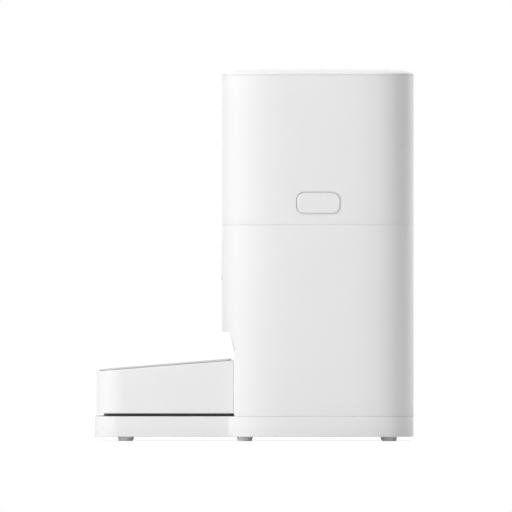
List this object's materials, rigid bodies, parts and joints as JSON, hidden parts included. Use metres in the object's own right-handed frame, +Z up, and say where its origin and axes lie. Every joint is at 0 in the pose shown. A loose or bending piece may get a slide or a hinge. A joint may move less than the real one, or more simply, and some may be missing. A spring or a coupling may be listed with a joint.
{
  "type": "smart pet feeder",
  "caption": "Free-standing pet feeder: lift-off food bin over a geared metering rotor, chute, and a steel bowl in a slide-out holder.",
  "frame": {"origin": "middle of the footprint on the surface that the six feet stand on", "axes": "+Z up, -Y towards the bowl at the front, +X across the width"},
  "size_m": [0.178, 0.3188, 0.371],
  "materials": {
    "shell_white": "fine satin moulded white plastic",
    "gloss_white": "polished white plastic",
    "inner_plastic": "natural moulded plastic",
    "clear_plastic": "smoky translucent plastic",
    "silicone": "matt silicone",
    "bowl_steel": "brushed stainless steel",
    "steel": "turned steel",
    "brass": "plain brass",
    "gear_resin": "natural acetal",
    "board_green": "solder mask",
    "dark_plastic": "black moulded plastic",
    "cell_metal": "plain wrapped cell",
    "foot_rubber": "grey rubber",
    "mat_rubber": "dark soft mat"
  },
  "bodies": {
    "base": {"base_frame": "shell_white", "bottom_cover": "shell_white", "foot_front_left": "foot_rubber", "foot_front_right": "foot_rubber", "foot_middle_left": "foot_rubber", "foot_middle_right": "foot_rubber", "foot_rear_left": "foot_rubber", "foot_rear_right": "foot_rubber", "base_screw_1": "steel", "base_screw_2": "steel", "base_screw_3": "steel", "base_screw_4": "steel", "holder_pad": "mat_rubber", "lower_housing": "shell_white", "front_panel": "gloss_white", "light_guide": "clear_plastic", "panel_board": "board_green", "chute": "inner_plastic", "deck": "inner_plastic", "outlet_seal": "silicone", "gearbox_base": "inner_plastic", "gearbox_cover": "inner_plastic", "drive_bush": "brass", "idler_pin": "steel", "motor": "steel", "control_board": "board_green", "board_bracket": "inner_plastic", "level_sensor_left": "dark_plastic", "level_sensor_right": "dark_plastic", "power_socket": "dark_plastic", "battery_case": "dark_plastic", "battery_cell_1": "cell_metal", "battery_cell_2": "cell_metal", "battery_cell_3": "cell_metal", "battery_contact_front": "brass", "battery_contact_rear": "brass"},
    "battery_door": {"battery_door": "shell_white"},
    "feed_button": {"feed_button": "gloss_white"},
    "bowl_holder": {"bowl_holder": "shell_white"},
    "bowl": {"bowl": "bowl_steel"},
    "drive": {"drive_shaft": "steel", "drive_gear": "gear_resin"},
    "idler": {"idler_gear": "gear_resin"},
    "pinion": {"motor_pinion": "gear_resin"},
    "food_bin": {"bin_shell": "shell_white", "bin_frame": "inner_plastic", "hopper_funnel": "clear_plastic", "metering_drum": "inner_plastic", "outlet_baffle": "silicone"},
    "rotor": {"metering_rotor": "silicone", "stirrer": "inner_plastic"},
    "release_button_left": {"release_button_left": "shell_white"},
    "release_button_right": {"release_button_right": "shell_white"},
    "lid": {"lid_cover": "shell_white", "lid_plug": "inner_plastic", "lid_seal": "silicone", "desiccant_box": "inner_plastic"},
    "desiccant_cover": {"desiccant_cover": "inner_plastic"}
  },
  "joints": [
    {"name": "bin_lift", "type": "slide", "parent": "base", "child": "food_bin", "axis": [0, 0, 1], "range_m": [0, 0.12]},
    {"name": "lid_lift", "type": "slide", "parent": "food_bin", "child": "lid", "axis": [0, 0, 1], "range_m": [0, 0.06]},
    {"name": "desiccant_twist", "type": "hinge", "parent": "lid", "child": "desiccant_cover", "pos_m": [0, 0.06365, 0.3533], "axis": [0, 0, 1], "range_deg": [0, 40]},
    {"name": "release_press_left", "type": "slide", "parent": "food_bin", "child": "release_button_left", "axis": [1, 0, 0], "range_m": [0, 0.0025], "stiffness_N_per_m": 1500, "springref_m": -0.0004},
    {"name": "release_press_right", "type": "slide", "parent": "food_bin", "child": "release_button_right", "axis": [-1, 0, 0], "range_m": [0, 0.0025], "stiffness_N_per_m": 1500, "springref_m": -0.0004},
    {"name": "rotor_spin", "type": "hinge", "parent": "food_bin", "child": "rotor", "pos_m": [0, 0.046, 0.15], "axis": [0, 0, 1], "continuous": true},
    {"name": "drive_spin", "type": "hinge", "parent": "base", "child": "drive", "pos_m": [0, 0.046, 0.111], "axis": [0, 0, 1], "continuous": true},
    {"name": "idler_spin", "type": "hinge", "parent": "base", "child": "idler", "pos_m": [0, 0.078, 0.106], "axis": [0, 0, 1], "continuous": true},
    {"name": "pinion_spin", "type": "hinge", "parent": "base", "child": "pinion", "pos_m": [0, 0.111, 0.1], "axis": [0, 0, 1], "continuous": true},
    {"name": "holder_slide", "type": "slide", "parent": "base", "child": "bowl_holder", "axis": [0, -1, 0], "range_m": [0, 0.06]},
    {"name": "bowl_lift", "type": "slide", "parent": "bowl_holder", "child": "bowl", "axis": [0, 0, 1], "range_m": [0, 0.02]},
    {"name": "feed_press", "type": "slide", "parent": "base", "child": "feed_button", "axis": [0, 1, 0], "range_m": [0, 0.001], "stiffness_N_per_m": 2000, "springref_m": -0.0003},
    {"name": "battery_door_slide", "type": "slide", "parent": "base", "child": "battery_door", "axis": [0, 1, 0], "range_m": [0, 0.006]}
  ],
  "couplings": [
    {"joint": "drive_spin", "follows": "rotor_spin", "ratio": 1},
    {"joint": "idler_spin", "follows": "rotor_spin", "ratio": -2.2},
    {"joint": "pinion_spin", "follows": "rotor_spin", "ratio": 5.8667}
  ]
}
